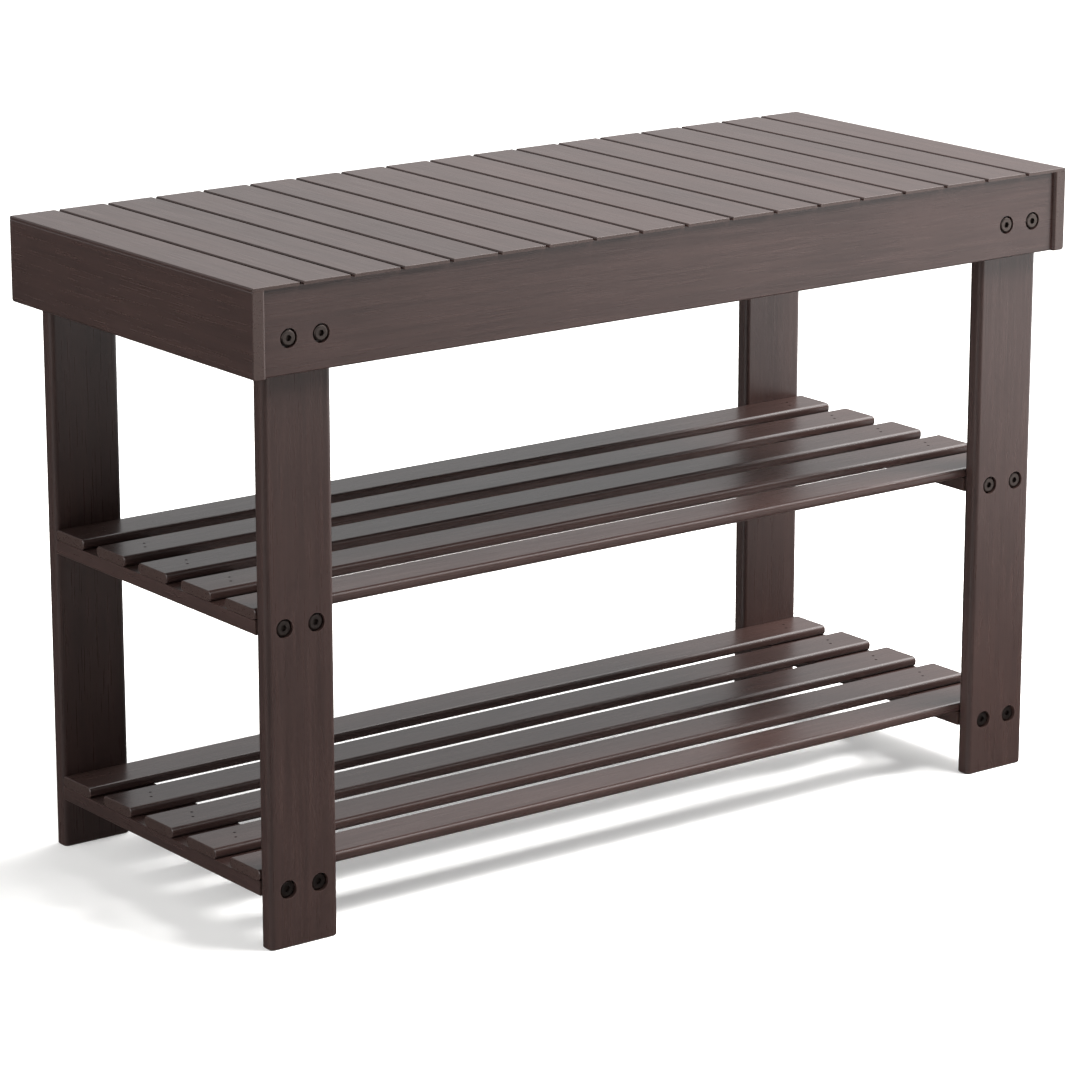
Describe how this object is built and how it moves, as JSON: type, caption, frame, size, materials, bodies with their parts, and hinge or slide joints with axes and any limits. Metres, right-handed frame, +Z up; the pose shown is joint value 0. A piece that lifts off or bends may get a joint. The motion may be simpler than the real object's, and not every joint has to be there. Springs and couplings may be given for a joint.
{
  "type": "entryway bench",
  "caption": "Low slatted bench with a flat slatted seat on a shallow apron box, flat board legs and two open slatted shoe shelves below.",
  "frame": {"origin": "on the floor, under the middle of the bench", "axes": "+X along the bench, to the right seen from the front; +Y from the front to the back; +Z up"},
  "size_m": [0.7, 0.3, 0.45],
  "materials": {
    "seat_slats": "dark brown stained bamboo, satin lacquer",
    "shelf_slats": "dark brown stained bamboo, satin lacquer",
    "aprons": "dark brown stained bamboo, satin lacquer",
    "legs": "dark brown stained bamboo, satin lacquer",
    "cross_boards": "dark brown stained bamboo, satin lacquer",
    "batten": "dark brown stained bamboo, satin lacquer",
    "dowels": "plain beech, glued",
    "bolt_heads": "black oxide steel, satin",
    "inserts": "zinc plated steel",
    "brads": "blackened steel"
  },
  "bodies": {
    "root": {"apron_bolts": "bolt_heads", "batten_pins": "brads", "corner_dowels": "dowels", "front_apron": "aprons", "front_left_leg": "legs", "front_right_leg": "legs", "left_end_apron": "aprons", "leg_inserts": "inserts", "lower_left_cross_board": "cross_boards", "lower_right_cross_board": "cross_boards", "lower_shelf_brads": "brads", "lower_shelf_screws": "bolt_heads", "lower_shelf_slat_1": "shelf_slats", "lower_shelf_slat_2": "shelf_slats", "lower_shelf_slat_3": "shelf_slats", "lower_shelf_slat_4": "shelf_slats", "lower_shelf_slat_5": "shelf_slats", "rear_apron": "aprons", "rear_left_leg": "legs", "rear_right_leg": "legs", "right_end_apron": "aprons", "seat_batten": "batten", "seat_slat_01": "seat_slats", "seat_slat_02": "seat_slats", "seat_slat_03": "seat_slats", "seat_slat_04": "seat_slats", "seat_slat_05": "seat_slats", "seat_slat_06": "seat_slats", "seat_slat_07": "seat_slats", "seat_slat_08": "seat_slats", "seat_slat_09": "seat_slats", "seat_slat_10": "seat_slats", "seat_slat_11": "seat_slats", "seat_slat_12": "seat_slats", "seat_slat_13": "seat_slats", "seat_slat_14": "seat_slats", "seat_slat_15": "seat_slats", "seat_slat_16": "seat_slats", "seat_slat_17": "seat_slats", "seat_slat_18": "seat_slats", "upper_left_cross_board": "cross_boards", "upper_right_cross_board": "cross_boards", "upper_shelf_brads": "brads", "upper_shelf_screws": "bolt_heads", "upper_shelf_slat_1": "shelf_slats", "upper_shelf_slat_2": "shelf_slats", "upper_shelf_slat_3": "shelf_slats", "upper_shelf_slat_4": "shelf_slats", "upper_shelf_slat_5": "shelf_slats"}
  },
  "joints": []
}
